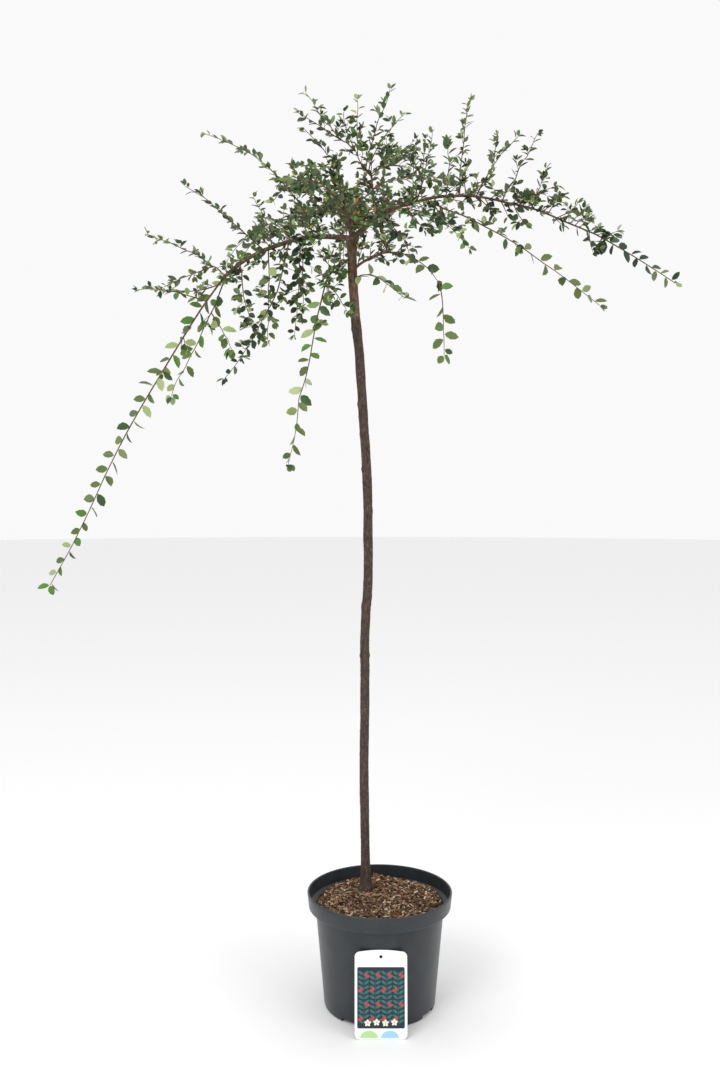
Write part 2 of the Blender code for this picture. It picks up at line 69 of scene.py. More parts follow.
# name: (parent, place along it 0..1, bearing in degrees from +X towards +Y,
#        rise at its foot, rise at its tip, how late it bends, length, habit)
SHOOTS = {
    "limb_left": ("stem", 1.00, 186, 15, -39, 0.70, 0.190, "dense"),
    "weep_left": ("limb_left", 1.00, 203, -48, -65, 0.35, 0.480, "long"),
    "weep_mid": ("limb_left", 0.98, 162, -72, -58, 0.35, 0.185, "long"),
    "weep_mid_b": ("weep_mid", 0.30, -50, -40, -52, 0.80, 0.075, "long"),
    "side_g": ("limb_left", 1.00, 155, 58, 18, 0.35, 0.145, "thin"),
    "side_h": ("weep_left", 0.09, 212, 17, -8, 0.90, 0.100, "thin"),
    "side_h2": ("side_g", 0.17, 195, -19, -30, 0.75, 0.075, "thin"),
    "side_h3": ("weep_left", 0.03, 165, -32, 9, 0.35, 0.100, "thin"),
    "side_e": ("limb_left", 0.67, 212, 35, 19, 3.00, 0.135, "thin"),
    "side_f": ("limb_left", 0.60, 130, 77, 47, 0.70, 0.090, "thin"),
    "side_d": ("limb_left", 0.29, 153, 79, 21, 0.60, 0.255, "thin"),
    "hang_v": ("limb_left", 0.63, -110, -86, -93, 1.00, 0.125, "long"),
    "hang_w": ("limb_left", 0.47, 215, -88, -50, 0.50, 0.220, "twiggy"),
    "hang_k": ("limb_left", 0.86, -40, -81, -59, 1.95, 0.105, "twiggy"),
    "hang_x": ("limb_left", 0.37, -90, -84, -93, 1.00, 0.110, "twiggy"),
    "hang_y": ("limb_left", 0.39, 120, -92, -76, 0.60, 0.130, "twiggy"),
    "limb_low": ("stem", 0.97, 225, -14, -64, 1.15, 0.065, "dense"),
    "hang_m": ("limb_low", 1.00, 245, -60, -69, 0.35, 0.270, "long"),
    "hang_m2": ("hang_m", 0.00, -60, -13, -48, 0.35, 0.075, "twiggy"),
    "limb_up": ("stem", 1.00, 140, 71, 100, 3.00, 0.115, "dense"),
    "limb_up_left": ("limb_up", 0.34, 160, 11, 39, 0.35, 0.095, "dense"),
    "side_c4": ("limb_up", 0.71, 212, -4, -1, 3.00, 0.090, "dense"),
    "side_c3": ("limb_up", 0.85, 140, -12, 21, 0.35, 0.055, "thin"),
    "side_c2": ("limb_up", 0.92, 195, 2, -2, 0.40, 0.050, "thin"),
    "top_c": ("limb_up", 0.97, 222, 28, 34, 3.00, 0.070, "thin"),
    "limb_right": ("stem", 1.00, -7, 47, 4, 1.20, 0.105, "dense"),
    "leader": ("limb_right", 0.45, 110, 47, 81, 0.50, 0.070, "dense"),
    "leader_top": ("leader", 1.00, 155, 45, 82, 0.80, 0.105, "twiggy"),
    "top_a": ("leader_top", 0.44, 150, 19, 59, 0.35, 0.125, "thin"),
    "top_b": ("top_a", 0.23, 218, 11, 19, 0.35, 0.075, "thin"),
    "top_o": ("leader_top", 0.32, 95, 84, 90, 1.00, 0.080, "thin"),
    "top_p": ("leader_top", 0.12, 42, 84, 63, 0.35, 0.130, "thin"),
    "top_q": ("leader_top", 0.05, -45, 100, 25, 0.35, 0.095, "thin"),
    "side_r0": ("leader", 1.00, -50, 12, -47, 2.05, 0.070, "dense"),
    "side_ra": ("leader", 0.95, 30, 45, -1, 3.00, 0.085, "dense"),
    "arm_right": ("limb_right", 1.00, 5, 37, -34, 0.35, 0.390, "arm"),
    "low_right": ("arm_right", 0.03, -26, -24, -43, 0.95, 0.295, "bare"),
    "limb_low_right": ("stem", 0.95, -42, 48, -12, 0.60, 0.090, "dense"),
    "hang_s": ("limb_low_right", 1.00, -45, -16, -50, 0.80, 0.085, "long"),
    "hang_s2": ("hang_s", 1.00, -70, -40, -95, 0.40, 0.100, "long"),
    "hang_t": ("stem", 0.94, -60, 33, -37, 0.35, 0.145, "long"),
    "up_1": ("limb_right", 0.94, 90, 100, 100, 1.00, 0.065, "thin"),
    "up_2": ("limb_right", 1.00, 70, 50, 78, 3.00, 0.145, "thin"),
    "up_2b": ("arm_right", 0.02, -70, 90, 67, 1.30, 0.080, "thin"),
    "up_3": ("arm_right", 0.11, -60, 55, 100, 0.40, 0.075, "thin"),
    "up_4": ("arm_right", 0.16, 70, 100, 56, 0.45, 0.160, "thin"),
    "up_4b": ("arm_right", 0.18, -90, 100, -38, 2.60, 0.055, "thin"),
    "up_5": ("arm_right", 0.22, -35, 75, 39, 0.35, 0.095, "thin"),
    "up_5b": ("up_5", 0.47, 60, 67, 67, 1.20, 0.050, "thin"),
    "up_6": ("arm_right", 0.31, 35, 57, 56, 0.50, 0.125, "thin"),
    "up_7": ("arm_right", 0.42, -40, 63, 79, 3.00, 0.055, "thin"),
    "up_8": ("arm_right", 0.36, -45, 20, 6, 0.35, 0.070, "thin"),
    "up_9": ("arm_right", 0.52, -10, 16, 47, 0.95, 0.035, "thin"),
    "dn_1": ("limb_right", 0.84, -45, -52, -19, 2.80, 0.070, "twiggy"),
    "dn_2": ("arm_right", 0.05, -60, -46, -29, 2.00, 0.095, "twiggy"),
    "dn_3": ("arm_right", 0.35, -50, -57, -49, 3.00, 0.040, "twiggy"),
    "limb_back": ("stem", 1.00, 85, 36, 30, 1.00, 0.095, "dense"),
    "back_a": ("limb_back", 1.00, 96, 32, -34, 0.80, 0.290, "arm"),
    "back_b": ("limb_back", 0.70, 138, 34, -32, 0.80, 0.300, "arm"),
    "back_c": ("limb_back", 0.80, 48, 36, -26, 0.80, 0.290, "arm"),
    "limb_front": ("stem", 1.00, -98, 26, 18, 1.00, 0.070, "dense"),
    "front_a": ("limb_front", 0.35, -52, 20, -66, 0.90, 0.155, "twiggy"),
    "front_b": ("limb_front", 1.00, -118, 30, -46, 0.90, 0.190, "twiggy"),
    "front_c": ("limb_front", 0.80, -42, 38, -26, 0.90, 0.180, "twiggy"),
    "front_d": ("limb_left", 0.22, -128, 14, -44, 0.90, 0.170, "twiggy"),
}
LIMB_RADII = {  # radius at the foot and the tip of the thicker shoots
    "limb_left": (0.0038, 0.0023), "limb_right": (0.0040, 0.0025),
    "limb_up": (0.0030, 0.0013), "limb_back": (0.0030, 0.0019),
    "limb_front": (0.0028, 0.0017), "arm_right": (0.0022, 0.0006),
    "weep_left": (0.0014, 0.0005), "leader": (0.0022, 0.0015),
    "limb_low": (0.0021, 0.0014), "limb_low_right": (0.0021, 0.0014),
}

# habit: side twigs' spacing and longest length, how far along they reach,
# leaf spacing on the shoot, leaf length, leaf width
HABITS = {
    "dense": (0.0078, 0.050, 1.00, 0.0070, 0.0122, 0.0070),
    "arm": (0.0084, 0.046, 0.72, 0.0085, 0.0134, 0.0078),
    "twiggy": (0.0130, 0.032, 0.88, 0.0080, 0.0134, 0.0080),
    "thin": (0.0210, 0.018, 0.85, 0.0074, 0.0126, 0.0066),
    "bare": (0.0300, 0.013, 0.60, 0.0120, 0.0138, 0.0080),
    "long": (0.0800, 0.020, 0.45, 0.0108, 0.0180, 0.0112),
}
ARC_STEPS = 24


# ----------------------------------------------------------------- curves
def smooth_line(stations, spacing):
    z = np.array([s[0] for s in stations])
    heights = np.linspace(z[0], z[-1], int(round((z[-1] - z[0]) / spacing)) + 1)
    out = []
    for axis in (1, 2):
        v = np.array([s[axis] for s in stations])
        slope = np.gradient(v, z)
        i = np.clip(np.searchsorted(z, heights, side="right") - 1, 0, len(z) - 2)
        h = z[i + 1] - z[i]
        t = (heights - z[i]) / h
        out.append((2 * t**3 - 3 * t**2 + 1) * v[i]
                   + (t**3 - 2 * t**2 + t) * h * slope[i]
                   + (3 * t**2 - 2 * t**3) * v[i + 1]
                   + (t**3 - t**2) * h * slope[i + 1])
    return np.stack([out[0], out[1], heights], axis=1)


def arc(foot, bearing, rise, fall, bend, length):
    s = (np.arange(ARC_STEPS) + 0.5) / ARC_STEPS
    angle = np.radians(rise + (fall - rise) * s**bend)
    turn = math.radians(bearing)
    step = np.stack([np.cos(angle) * math.cos(turn),
                     np.cos(angle) * math.sin(turn),
                     np.sin(angle)], axis=1) * (length / ARC_STEPS)
    return np.vstack([foot, foot + np.cumsum(step, axis=0)])


def at(points, s):
    x = s * (len(points) - 1)
    i = int(min(max(math.floor(x), 0), len(points) - 2))
    return points[i] + (points[i + 1] - points[i]) * (x - i)


def heading(points, s):
    i = int(min(max(s * (len(points) - 1), 0), len(points) - 2))
    d = points[i + 1] - points[i]
    return d / np.linalg.norm(d)


def unit(v):
    return v / max(np.linalg.norm(v), 1e-12)


# ------------------------------------------------------------ mesh batches
class Batch:
    """Faces gathered from many small shapes into one mesh."""

    def __init__(self):
        self.points, self.faces, self.slots, self.count = [], [], [], 0

    def add(self, points, faces, slot=0):
        self.points.append(points)
        self.faces.extend([tuple(i + self.count for i in f) for f in faces])
        self.slots.extend([slot] * len(faces))
        self.count += len(points)

    def build(self, name, mats, smooth=True):
        mesh = bpy.data.meshes.new(name)
        mesh.from_pydata(np.vstack(self.points).tolist(), [], self.faces)
        for mat in mats:
            mesh.materials.append(mat)
        mesh.polygons.foreach_set("material_index", self.slots)
        mesh.polygons.foreach_set("use_smooth", [smooth] * len(mesh.polygons))
        mesh.update()
        obj = bpy.data.objects.new(name, mesh)
        bpy.context.scene.collection.objects.link(obj)
        return obj


def tube_shape(points, radii, sides, relief=None):
    """A closed tube round a line; relief(angle, index) scales its radius."""
    t = np.gradient(points, axis=0)
    t /= np.linalg.norm(t, axis=1)[:, None]
    ref = np.zeros(3)
    ref[int(np.argmin(np.abs(t.mean(axis=0))))] = 1.0
    u = np.cross(t, ref)
    u /= np.linalg.norm(u, axis=1)[:, None]
    v = np.cross(t, u)
    a = np.linspace(0, 2 * math.pi, sides, endpoint=False)
    r = np.asarray(radii)[:, None] * np.ones((1, sides))
    if relief is not None:
        r = relief(r, a, points)
    ring = (points[:, None, :] + r[..., None] * (np.cos(a)[None, :, None] * u[:, None]
                                                 + np.sin(a)[None, :, None] * v[:, None]))
    n = len(points)
    verts = np.vstack([ring.reshape(-1, 3), points[:1], points[-1:]])
    faces = []
    for i in range(n - 1):
        for j in range(sides):
            k = (j + 1) % sides
            faces.append((i * sides + j, i * sides + k,
                          (i + 1) * sides + k, (i + 1) * sides + j))
    for j in range(sides):
        k = (j + 1) % sides
        faces.append((k, j, n * sides))
        faces.append(((n - 1) * sides + j, (n - 1) * sides + k, n * sides + 1))
    return verts, faces


# --------------------------------------------------------------- materials
def new_mat(name, colour, roughness=0.5, specular=0.5, metallic=0.0):
    mat = bpy.data.materials.new(name)
    mat.use_nodes = True
    bsdf = mat.node_tree.nodes["Principled BSDF"]
    bsdf.inputs["Base Color"].default_value = (*colour, 1.0)
    bsdf.inputs["Roughness"].default_value = roughness
    bsdf.inputs["Specular IOR Level"].default_value = specular
    bsdf.inputs["Metallic"].default_value = metallic
    return mat, mat.node_tree.nodes, mat.node_tree.links, bsdf


def object_coords(nodes, links, scale=(1, 1, 1)):
    coords = nodes.new("ShaderNodeTexCoord")
    mapping = nodes.new("ShaderNodeMapping")
    mapping.inputs["Scale"].default_value = scale
    links.new(coords.outputs["Object"], mapping.inputs["Vector"])
    return mapping.outputs["Vector"]


def noise_node(nodes, links, vector, scale, detail=4.0, rough=0.6):
    tex = nodes.new("ShaderNodeTexNoise")
    tex.inputs["Scale"].default_value = scale
    tex.inputs["Detail"].default_value = detail
    tex.inputs["Roughness"].default_value = rough
    links.new(vector, tex.inputs["Vector"])
    return tex.outputs["Fac"]


def ramp(nodes, links, fac, stops):
    node = nodes.new("ShaderNodeValToRGB")
    while len(node.color_ramp.elements) < len(stops):
        node.color_ramp.elements.new(0.5)
    for element, (pos, colour) in zip(node.color_ramp.elements, stops):
        element.position = pos
        element.color = (*colour, 1.0)
    links.new(fac, node.inputs["Fac"])
    return node.outputs["Color"]


def bump(nodes, links, bsdf, fac, strength, distance):
    node = nodes.new("ShaderNodeBump")
    node.inputs["Strength"].default_value = strength
    node.inputs["Distance"].default_value = distance
    links.new(fac, node.inputs["Height"])
    links.new(node.outputs["Normal"], bsdf.inputs["Normal"])


def bark_material(name, dark, mid, light, speck):
    mat, nodes, links, bsdf = new_mat(name, mid, 0.82, 0.3)
    along = object_coords(nodes, links, (1, 1, 0.28))
    streaks = noise_node(nodes, links, along, 420.0, 5.0, 0.65)
    base = ramp(nodes, links, streaks, [(0.30, dark), (0.52, mid), (0.74, light)])
    flat = object_coords(nodes, links, (1, 1, 1.6))
    spots = noise_node(nodes, links, flat, 260.0, 2.0, 0.5)
    mask = ramp(nodes, links, spots, [(0.64, (0, 0, 0)), (0.72, (1, 1, 1))])
    mix = nodes.new("ShaderNodeMix")
    mix.data_type = "RGBA"
    sockets = [s for s in mix.inputs if s.type == "RGBA"]
    links.new(mask, mix.inputs[0])
    links.new(base, sockets[0])
    sockets[1].default_value = (*speck, 1.0)
    out = [s for s in mix.outputs if s.type == "RGBA"][0]
    links.new(out, bsdf.inputs["Base Color"])
    bump(nodes, links, bsdf, streaks, 0.5, 0.0006)
    return mat


def chip_material(name, colour):
    mat, nodes, links, bsdf = new_mat(name, colour, 0.9, 0.25)
    vec = object_coords(nodes, links)
    grain = noise_node(nodes, links, vec, 500.0, 4.0, 0.6)
    dark = tuple(c * 0.55 for c in colour)
    light = tuple(min(1.0, c * 1.35) for c in colour)
    links.new(ramp(nodes, links, grain, [(0.35, dark), (0.65, light)]),
              bsdf.inputs["Base Color"])
    bump(nodes, links, bsdf, grain, 0.4, 0.0005)
    return mat


def leaf_material(name, colour, rough):
    mat, nodes, links, bsdf = new_mat(name, colour, rough, 0.28)
    vec = object_coords(nodes, links)
    fine = noise_node(nodes, links, vec, 900.0, 2.0, 0.5)
    bump(nodes, links, bsdf, fine, 0.15, 0.0003)
    return mat


# --------------------------------------------------------------- the wood
def stem_radius(z):
    radius = STEM_R + (FLARE_R - STEM_R) * math.exp(-max(z - 0.1564, 0) / 0.0135)
    radius += 0.0005 * math.exp(-((z - 0.962) / 0.012) ** 2)
    radius += (HEAD_R - STEM_R) * math.exp(-((z - FORK_Z) / 0.011) ** 2)
    return radius


def knots(seed, count, low, high):
    rng = random.Random(seed)
    return [(rng.uniform(low, high), rng.uniform(0, 2 * math.pi),
             rng.uniform(0.0006, 0.0013), rng.uniform(0.0030, 0.0060))
            for _ in range(count)]


STEM_KNOTS = knots("stem", 22, 0.20, 1.07)


def stem_relief(r, a, points):
    out = r.copy()
    for i, p in enumerate(points):
        for j, turn in enumerate(a):
            c, s = math.cos(turn), math.sin(turn)
            ridges = noise.noise(Vector((c * 3.4, s * 3.4, p[2] * 55.0)))
            plates = noise.noise(Vector((c * 8.0, s * 8.0, p[2] * 260.0)))
            bend = noise.noise(Vector((c * 1.1, s * 1.1, p[2] * 26.0 + 7.0)))
            out[i, j] += 0.00042 * ridges + 0.00034 * plates + 0.00050 * bend
        for z, turn, height, wide in STEM_KNOTS:
            if abs(p[2] - z) < 0.018:
                gap = (a - turn + math.pi) % (2 * math.pi) - math.pi
                out[i] += height * np.exp(-((gap * STEM_R / wide) ** 2)
                                          - ((p[2] - z) / wide) ** 2)
    return out


def make_trunk(mats):
    line = smooth_line(STEM, 0.0016)
    points = [p for p in line if p[2] >= 0.1520]
    head = points[-1]
    for rise in (0.0016, 0.0032, 0.0048, 0.0062):
        points.append(head + np.array([0, 0, rise]))
    points = np.array(points)
    radii = np.array([stem_radius(p[2]) for p in points])
    radii[-1] *= 0.45
    radii[-2] *= 0.72
    radii[-3] *= 0.90
    batch = Batch()
    verts, faces = tube_shape(points, radii, 40, stem_relief)
    batch.add(verts, faces)
    obj = batch.build("trunk", mats)
    # the bark above the graft is lighter and more flaking
    heights = np.array([f.center[2] for f in obj.data.polygons])
    rng = np.random.default_rng(11)
    upper = heights + rng.normal(0, 0.004, len(heights)) > 0.975
    obj.data.polygons.foreach_set("material_index", upper.astype(int).tolist())
    return obj


def wobble(points, seed, size):
    rng = np.random.default_rng(seed)
    n = len(points)
    kinks = rng.normal(0, 1, (n // 3 + 2, 3))
    x = np.linspace(0, len(kinks) - 1.001, n)
    i = x.astype(int)
    f = (x - i)[:, None]
    shift = kinks[i] * (1 - f) + kinks[i + 1] * f
    shift *= size * np.minimum(1.0, np.arange(n) / 3.0)[:, None]
    return points + shift


def shoot_radius(name, length):
    return LIMB_RADII.get(name, (0.0008 + 0.0015 * length, 0.00042))


def grow_shoots():
    lines = {"stem": smooth_line([s for s in STEM if s[0] > 0.151], 0.013)}
    radii = {}
    todo = dict(SHOOTS)
    order = []
    while todo:
        for name, (parent, place, *form) in list(todo.items()):
            if parent in lines:
                points = arc(at(lines[parent], place), *form[:-1])
                seed = sum(ord(c) * (k + 3) for k, c in enumerate(name))
                length = form[-2]
                lines[name] = wobble(points, seed, min(0.0011, 0.008 * length))
                radii[name] = shoot_radius(name, length)
                order.append(name)
                del todo[name]
    return lines, radii, order


def cone(direction, spread, rng):
    """A direction turned from another by an angle, to a random side."""
    ref = np.array([0.0, 0.0, 1.0]) if abs(direction[2]) < 0.9 else np.array([1.0, 0, 0])
    u = unit(np.cross(direction, ref))
    v = np.cross(direction, u)
    a = rng.uniform(0, 2 * math.pi)
    return unit(direction * math.cos(spread)
                + (u * math.cos(a) + v * math.sin(a)) * math.sin(spread))


def side_twig(foot, forward, length, rng, lift):
    """A short twig that leaves its shoot at an angle and curves upwards."""
    d = cone(forward, math.radians(rng.uniform(38, 68)), rng)
    d = unit(d + np.array([0, 0, lift]))
    steps = max(3, int(length / 0.006))
    points = [foot]
    for k in range(steps):
        d = unit(d + np.array([rng.normal(0, 0.10), rng.normal(0, 0.10),
                               rng.normal(0.03, 0.10)]))
        points.append(points[-1] + d * length / steps)
    return np.array(points)


# --------------------------------------------------------------- the leaves
MID = [(0.0, 0.0), (0.30, 0.0), (0.62, 0.0), (1.0, 0.0)]
EDGE = [(0.15, 0.60), (0.42, 1.0), (0.76, 0.74)]
LEFT = [(0, 1, 4), (1, 5, 4), (1, 2, 5), (2, 6, 5), (2, 3, 6)]
RIGHT = [(0, 7, 1), (1, 7, 8), (1, 8, 2), (2, 8, 9), (2, 9, 3)]
LEAF_X = np.array([p[0] for p in MID] + [p[0] for p in EDGE] * 2)
LEAF_Y = np.array([0.0] * 4 + [p[1] for p in EDGE] + [-p[1] for p in EDGE]) * 0.5


def leaf_shape(base, along, normal, length, width, fold, curl):
    across = np.cross(normal, along)
    z = np.abs(LEAF_Y) * fold * width - curl * length * LEAF_X**2
    top = (base[None] + LEAF_X[:, None] * length * along[None]
           + LEAF_Y[:, None] * width * across[None] + z[:, None] * normal[None])
    low = top - normal[None] * 0.00022
    return top, low


class Leaves:
    """Leaves by colour, each with a darker face and a paler back."""

    def __init__(self, names):
        self.sets = {name: Batch() for name in names}
        self.total = 0

    def add(self, kind, *form):
        top, low = leaf_shape(*form)
        batch = self.sets[kind]
        faces = LEFT + RIGHT
        batch.add(top, faces, 0)
        batch.add(low, [tuple(reversed(f)) for f in faces], 1)
        self.total += 1


def place_leaf(leaves, kind, point, forward, side, length, width, rng, rise):
    opening = math.radians(rng.uniform(42, 70))
    along = unit(forward * math.cos(opening) + side * math.sin(opening)
                 + np.array([0, 0, rise]) + rng.normal(0, 0.16, 3))
    hang = max(0.0, -forward[2])
    spin = rng.normal(-math.pi / 2, 0.9)
    level = np.array([math.cos(spin), math.sin(spin), 0.0])
    up = (np.array([0.0, 0.0, 1.0 - 0.85 * hang]) + level * (0.30 + 0.90 * hang)
          + rng.normal(0, 0.34, 3))
    normal = up - along * np.dot(up, along)
    if np.linalg.norm(normal) < 0.15:
        normal = np.cross(along, side)
    leaves.add(kind, point + along * 0.0012, along, unit(normal),
               length * rng.uniform(0.78, 1.14), width * rng.uniform(0.82, 1.16),
               rng.uniform(0.10, 0.55), rng.uniform(-0.04, 0.20))


def two_sides(forward):
    ref = np.array([0.0, 0.0, 1.0])
    side = np.cross(forward, ref)
    if np.linalg.norm(side) < 0.35:
        side = np.cross(forward, np.array([0.0, 1.0, 0.0]))
    side = unit(side)
    other = unit(np.cross(forward, side))
    # hanging shoots spread their two rows of leaves to the left and the right
    if forward[2] < -0.4 and abs(other[0]) > abs(side[0]):
        side, other = other, side
    return side, other


def leafy(leaves, line, length, spacing, size, width, pick, rng, first=0.0, rise=0.05,
          rosette=True, tail=False):
    count = max(2, int(length * (1 - first) / spacing))
    for k in range(count):
        s = first + (1 - first) * (k + rng.uniform(0.2, 0.8)) / count
        forward = heading(line, s)
        side, other = two_sides(forward)
        turn = (0 if k % 2 else math.pi) + rng.normal(0, 0.55)
        out = side * math.cos(turn) + other * math.sin(turn)
        shrink = 1.0 - 0.30 * max(0.0, s - 0.75) / 0.25
        if tail and s > 0.55:  # the bare whips of the arms carry larger leaves
            shrink *= 1.0 + 0.42 * min(1.0, (s - 0.55) / 0.12)
        place_leaf(leaves, pick(s), at(line, s), forward, out, size * shrink,
                   width * shrink, rng, rise)
    if rosette:
        forward = heading(line, 0.99)
        for k in range(3):
            out = cone(forward, math.radians(70), rng)
            place_leaf(leaves, pick(1.0), line[-1], forward, out, size * 0.78,
                       width * 0.8, rng, rise)


def grow(mats):
    lines, radii, order = grow_shoots()
    wood, twigs = Batch(), Batch()
    kinds = ["dark", "mid", "olive", "bright", "pale", "yellow", "russet", "dry"]
    leaves = Leaves(kinds)
    centre = np.array([-0.035, 0.0, 1.14])
    for name in order:
        habit = SHOOTS[name][7]
        length = SHOOTS[name][6]
        spacing, longest, reach, gap, size, width = HABITS[habit]
        seed = sum(ord(c) * (k * 7 + 1) for k, c in enumerate(name))
        rng = np.random.default_rng(seed)
        line = lines[name]
        r0, r1 = radii[name]
        r = r0 + (r1 - r0) * np.linspace(0, 1, len(line)) ** 0.8
        verts, faces = tube_shape(line, r, 9 if r0 > 0.0018 else 6)
        wood.add(verts, faces, 0 if name in LIMB_RADII else 1)

        def pick_for(place, tender):
            near = float(np.linalg.norm(place - centre))
            chance = rng.random()
            if habit == "long":
                kind = ("olive" if chance < 0.52 else "mid" if chance < 0.72 else
                        "bright" if chance < 0.84 else "pale")
            elif near < 0.13:
                kind = "dark" if chance < 0.56 else "mid" if chance < 0.84 else "bright"
            else:
                kind = ("dark" if chance < 0.46 else "mid" if chance < 0.78 else
                        "olive" if chance < 0.92 else "bright")

            turning = 0.15 * math.exp(-(near / 0.055) ** 2)

            def pick(s):
                if rng.random() < turning:
                    return "yellow" if rng.random() < 0.75 else "russet"
                if habit == "long":
                    c = rng.random()
                    return ("olive" if c < 0.46 else "mid" if c < 0.66 else
                            "pale" if c < 0.82 else "bright")
                if s > tender and rng.random() < 0.55:
                    return "pale" if rng.random() < 0.4 else "olive"
                return kind if rng.random() < 0.8 else "dark" if kind == "mid" else "mid"
            return pick

        bare = 0.12 if name.startswith("limb") or habit == "dense" else 0.05
        pick = pick_for(at(line, 0.5), 0.86 if habit in ("long", "arm") else 0.94)
        leafy(leaves, line, length, gap, size, width, pick, rng, bare,
              0.10 if habit in ("thin", "dense") else -0.02,
              tail=habit in ("arm", "bare"))
        count = int(length * reach / spacing)
        for k in range(count):
            s = bare + (reach - bare) * (k + rng.uniform(0.1, 0.9)) / count
            span = longest * (1.0 - 0.55 * s) * rng.uniform(0.35, 1.0)
            foot = at(line, s)
            twig = side_twig(foot, heading(line, s), span, rng,
                             0.35 if habit != "long" else -0.2)
            tip_r = 0.00035
            foot_r = min(0.0009, 0.6 * (r0 + (r1 - r0) * s))
            verts, faces = tube_shape(twig, np.linspace(foot_r, tip_r, len(twig)), 5)
            twigs.add(verts, faces)
            small = 0.94 if habit != "long" else 0.8
            choose = pick_for(twig[-1], 0.9)
            leafy(leaves, twig, span, 0.0068, size * small, width * small, choose,
                  rng, 0.12, 0.12)
            if span > 0.024:
                for t in (0.45, 0.72):
                    sub_span = span * rng.uniform(0.28, 0.5)
                    sub = side_twig(at(twig, t), heading(twig, t), sub_span, rng, 0.3)
                    verts, faces = tube_shape(sub, np.linspace(0.0005, 0.0003, len(sub)), 4)
                    twigs.add(verts, faces)
                    leafy(leaves, sub, sub_span, 0.0065, size * 0.88, width * 0.88,
                          choose, rng, 0.1, 0.12)
    # a small dry sprig at the foot of the stem
    rng = np.random.default_rng(77)
    foot, rise = np.array([-0.0105, 0.0200, 0.1560]), np.array([0.32, -0.10, 0.94])
    for k in range(3):
        span = 0.022 - 0.004 * k
        lean = unit(rise + rng.normal(0, 0.25, 3))
        twig = foot + lean * np.linspace(0, span, 5)[:, None] \
            + np.array([0.0012, 0.0, 0.0]) * np.sin(np.linspace(0, 3, 5))[:, None]
        verts, faces = tube_shape(twig, np.linspace(0.0006, 0.0003, 5), 5)
        twigs.add(verts, faces)
        leafy(leaves, twig, span, 0.0048, 0.0075, 0.0034, lambda s: "dry", rng, 0.3, 0.1)
    return wood, twigs, leaves


# ------------------------------------------------------------------- pot
def turned(name, profile, steps, mats):
    batch = Batch()
    ring = []
    a = np.linspace(0, 2 * math.pi, steps, endpoint=False)
    for r, z in profile:
        ring.append(np.stack([r * np.cos(a), r * np.sin(a), np.full(steps, z)], axis=1))
    first, last = profile[0], profile[-1]
    verts = np.vstack(ring + [np.array([[0, 0, first[1]], [0, 0, last[1]]])])
    faces = []
    n = len(profile)
    for i in range(n - 1):
        for j in range(steps):
            k = (j + 1) % steps
            faces.append((i * steps + j, (i + 1) * steps + j,
                          (i + 1) * steps + k, i * steps + k))
    for j in range(steps):
        k = (j + 1) % steps
        faces.append((n * steps, j, k))
        faces.append((n * steps + 1, (n - 1) * steps + k, (n - 1) * steps + j))
    batch.add(verts, faces)
    return batch.build(name, mats)


def wall_radius(z):
    return POT_BASE_R + (POT_WALL_TOP_R - POT_BASE_R) * z / POT_BAND_Z


def make_pot(mat):
    profile = [(POT_BASE_R - POT_WALL - 0.004, POT_WALL),
               (POT_BASE_R - POT_WALL, POT_WALL + 0.003)]
    for k in range(1, 9):
        z = 0.005 + (POT_BAND_Z - 0.005) * k / 8
        profile.append((wall_radius(z) - POT_WALL, z))
    profile += [(POT_BAND_R - POT_WALL, POT_BAND_Z + 0.0044),
                (POT_RIM_R - POT_WALL - 0.0006, POT_HEIGHT - 0.0030)]
    for k in range(9):  # rounded lip
        a = math.pi * (1 - k / 8)
        profile.append((POT_RIM_R - 0.0014 + 0.0014 * math.cos(a),
                        POT_HEIGHT - 0.0014 + 0.0014 * math.sin(a)))
    profile += [(POT_RIM_R - 0.0003, POT_HEIGHT - 0.0045),
                (POT_BAND_R + 0.0004, POT_BAND_Z + 0.0016),
                (POT_BAND_R, POT_BAND_Z + 0.0005), (POT_BAND_R - 0.0006, POT_BAND_Z),
                (POT_WALL_TOP_R + 0.0008, POT_BAND_Z),
                (POT_WALL_TOP_R, POT_BAND_Z - 0.0008)]
    for k in range(1, 12):
        z = POT_BAND_Z - (POT_BAND_Z - 0.0035) * k / 11
        profile.append((wall_radius(z), z))
    profile += [(POT_BASE_R - 0.0003, 0.0015), (POT_BASE_R - 0.0012, 0.0003),
                (POT_BASE_R - 0.0022, 0.0)]
    profile.reverse()
    pot = turned("nursery_pot", profile, 160, [mat])
    bm = bmesh.new()
    bm.from_mesh(pot.data)
    bmesh.ops.recalc_face_normals(bm, faces=bm.faces)
    bm.to_mesh(pot.data)
    bm.free()
    cutters = []
    for k in range(NOTCH_COUNT):
        bearing = math.radians(-90 + NOTCH_TURN + 360.0 * k / NOTCH_COUNT)
        bpy.ops.mesh.primitive_cube_add(size=1.0)
        box = bpy.context.object
        box.dimensions = (0.026, NOTCH_WIDTH, 2 * NOTCH_HEIGHT)
        box.rotation_euler = (0.0, 0.0, bearing)
        reach = POT_BASE_R + 0.002
        box.location = (reach * math.cos(bearing), reach * math.sin(bearing), 0.0)
        cut = pot.modifiers.new("notch", "BOOLEAN")
        cut.operation = "DIFFERENCE"
        cut.object = box
        cutters.append(box)
    bpy.context.view_layer.update()
    graph = bpy.context.evaluated_depsgraph_get()
    mesh = bpy.data.meshes.new_from_object(pot.evaluated_get(graph))
    pot.modifiers.clear()
    pot.data = mesh
    for box in cutters:
        bpy.data.objects.remove(box, do_unlink=True)
    mesh.shade_smooth()
    mesh.set_sharp_from_angle(angle=math.radians(38))
    mesh.materials.clear()
    mesh.materials.append(mat)
    return pot


